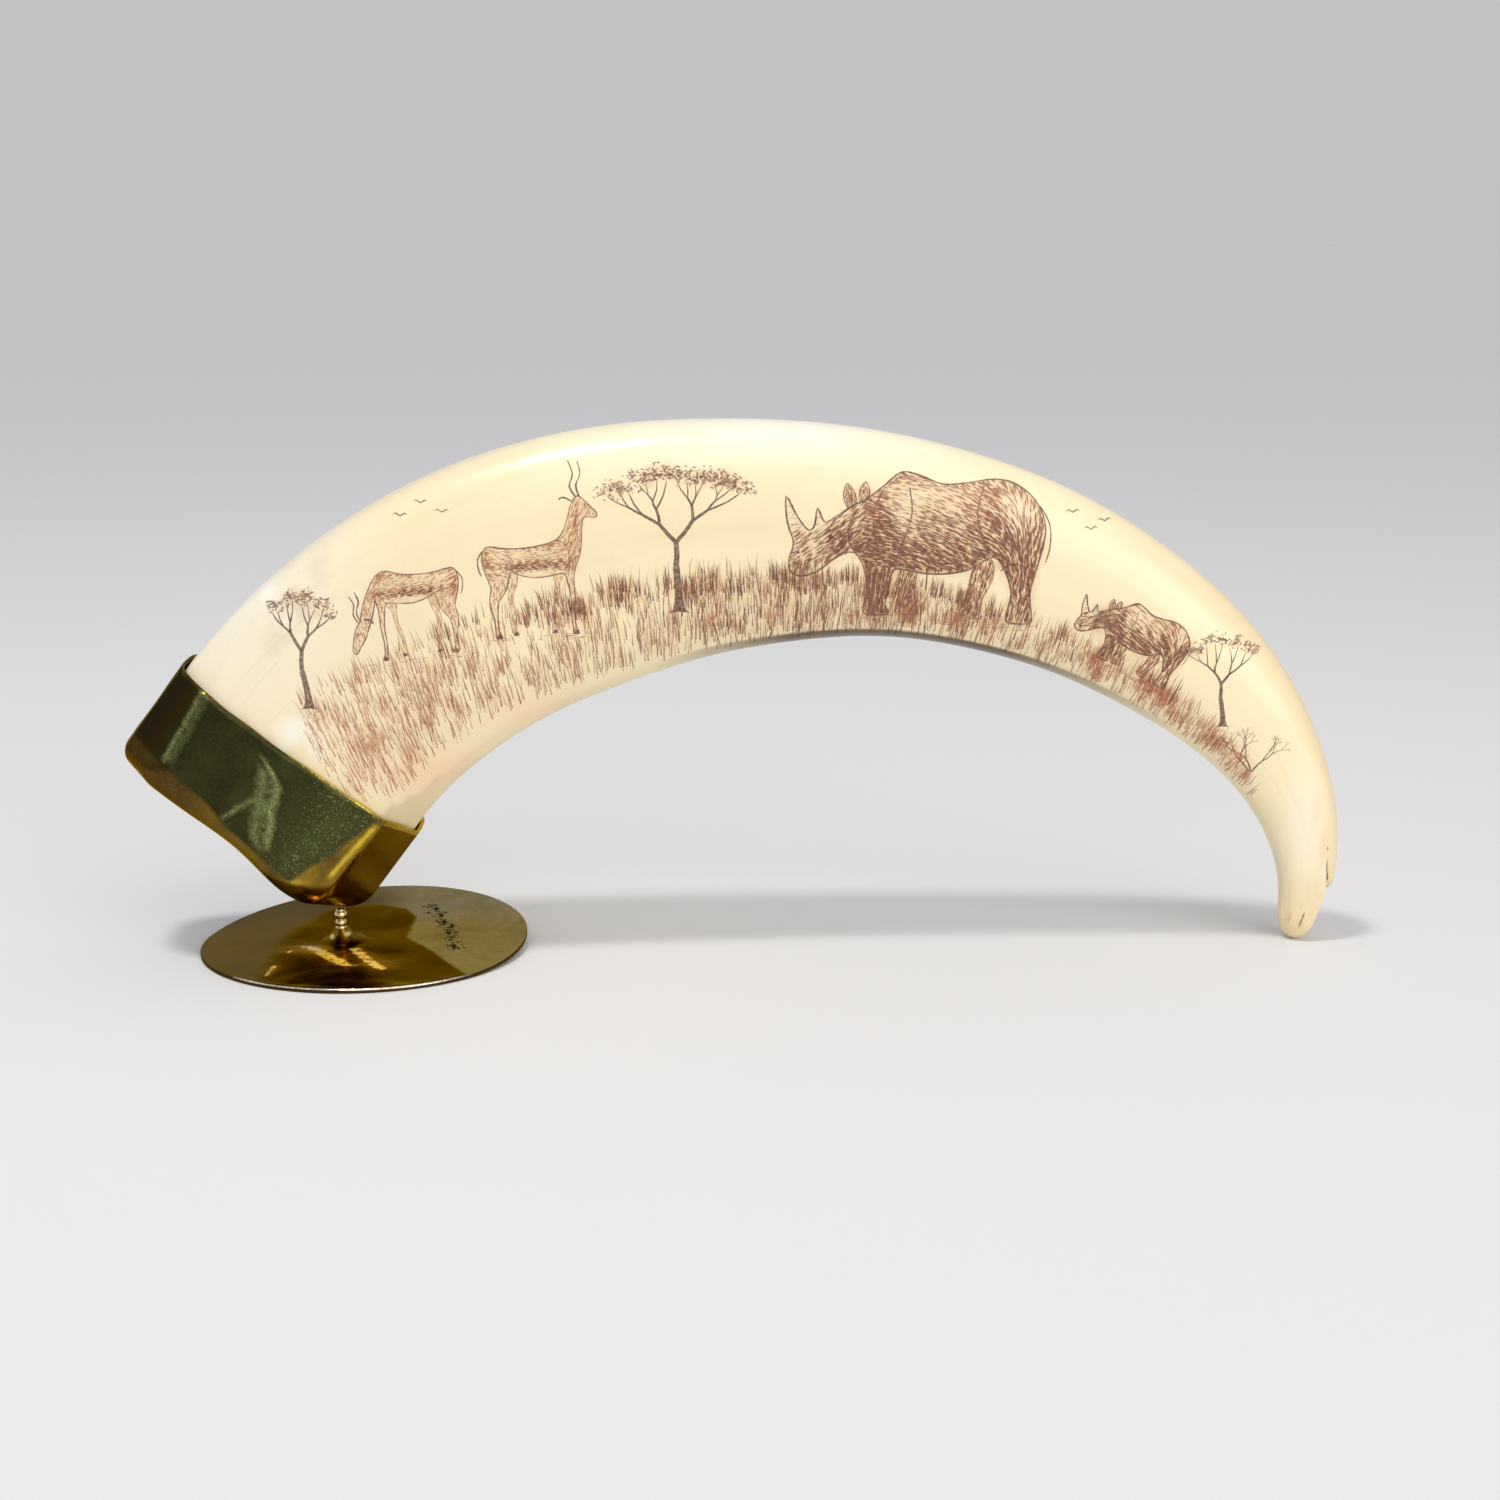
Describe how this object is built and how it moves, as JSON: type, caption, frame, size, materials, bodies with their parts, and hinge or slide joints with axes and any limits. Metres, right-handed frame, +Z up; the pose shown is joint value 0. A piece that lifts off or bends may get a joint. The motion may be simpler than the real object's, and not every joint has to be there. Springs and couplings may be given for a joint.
{
  "type": "scrimshaw tusk ornament on a small foot",
  "caption": "Engraved warthog tusk arching from a capped root, on a thin domed foot, down to its own tip on the ground.",
  "frame": {"origin": "on the ground, under the middle of the whole ornament", "axes": "+X from the foot to the tip, +Y away from the engraved side, +Z up"},
  "size_m": [0.1796, 0.0484, 0.0787],
  "materials": {
    "ivory": "polished tooth, engraved and inked in brown",
    "brass": "thin hand-worked sheet, polished and tarnished",
    "solder": "bright solder beads"
  },
  "bodies": {
    "root": {"tusk": "ivory", "ferrule": "brass", "post": "solder", "foot": "brass"}
  },
  "joints": []
}
